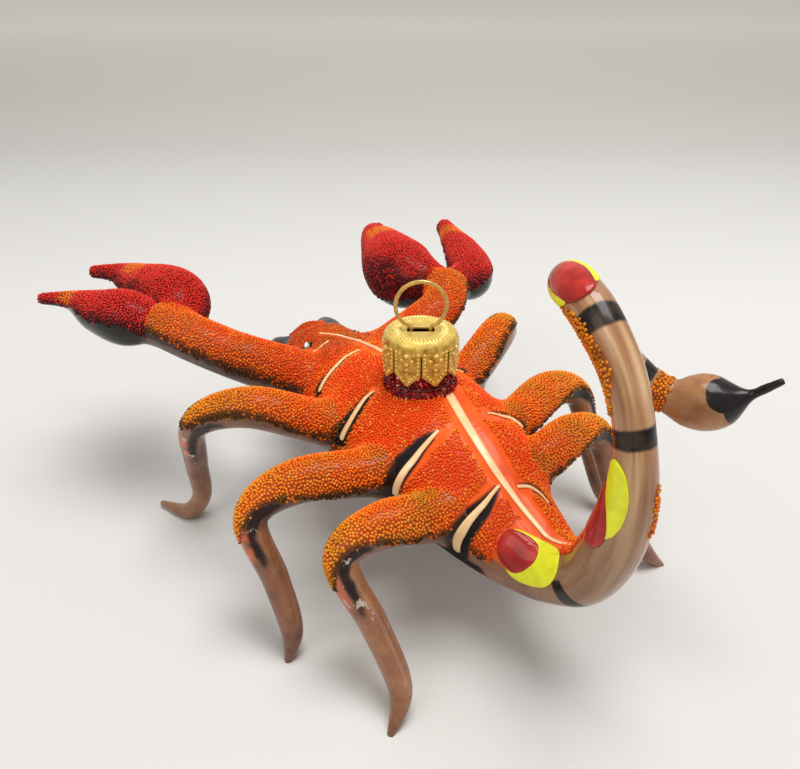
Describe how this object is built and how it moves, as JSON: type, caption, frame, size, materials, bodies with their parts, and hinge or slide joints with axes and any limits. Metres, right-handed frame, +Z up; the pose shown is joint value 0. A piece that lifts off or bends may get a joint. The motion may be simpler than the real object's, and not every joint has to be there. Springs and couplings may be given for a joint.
{
  "type": "glass scorpion ornament",
  "caption": "Blown glass scorpion that stands on arched legs, with bead-coated back and claws, a curled tail, and a metal cap with a wire ring to hang it by.",
  "frame": {"origin": "on the floor, under the middle of the overall box", "axes": "Z up, the head looks along -Y, the left side of the scorpion is +X"},
  "size_m": [0.1064, 0.1334, 0.07],
  "materials": {
    "brown_glass": "blown glass under streaky brown lacquer",
    "black_glass": "blown glass under glossy black lacquer",
    "orange_beads": "orange glass micro-beads glued close together",
    "red_beads": "red glass micro-beads glued close together",
    "red_enamel": "thick glossy red enamel",
    "red_glitter": "red glitter in clear glue",
    "gilt_metal": "stamped gilt sheet and wire"
  },
  "bodies": {
    "ornament": {"body_shell": "brown_glass", "neck_tube": "brown_glass", "tail_tube": "brown_glass", "stinger_bulb": "brown_glass", "stinger_spike": "black_glass", "left_jaw": "black_glass", "right_jaw": "black_glass", "left_eye": "black_glass", "right_eye": "black_glass", "left_front_leg": "brown_glass", "left_middle_leg": "brown_glass", "left_rear_leg": "brown_glass", "right_front_leg": "brown_glass", "right_middle_leg": "brown_glass", "right_rear_leg": "brown_glass", "left_arm": "brown_glass", "right_arm": "brown_glass", "left_outer_finger": "brown_glass", "left_inner_finger": "brown_glass", "right_outer_finger": "brown_glass", "right_inner_finger": "brown_glass", "body_beads": "orange_beads", "tail_beads": "orange_beads", "left_front_leg_beads": "orange_beads", "left_middle_leg_beads": "orange_beads", "left_rear_leg_beads": "orange_beads", "right_front_leg_beads": "orange_beads", "right_middle_leg_beads": "orange_beads", "right_rear_leg_beads": "orange_beads", "left_arm_beads": "orange_beads", "right_arm_beads": "orange_beads", "left_outer_finger_beads": "red_beads", "left_inner_finger_beads": "red_beads", "right_outer_finger_beads": "red_beads", "right_inner_finger_beads": "red_beads", "root_drop": "red_enamel", "upright_drop": "red_enamel", "crown_drop": "red_enamel", "glitter_band": "red_glitter"},
    "cap": {"cap": "gilt_metal"},
    "hanger": {"hanger": "gilt_metal"}
  },
  "joints": [
    {"name": "cap_lift", "type": "slide", "parent": "ornament", "child": "cap", "axis": [0, 0, 1], "range_m": [0, 0.012]},
    {"name": "hanger_tilt", "type": "hinge", "parent": "cap", "child": "hanger", "pos_m": [0, 0.012, 0.04705], "axis": [0.8339, -0.5519, 0], "range_deg": [-12, 12]}
  ]
}
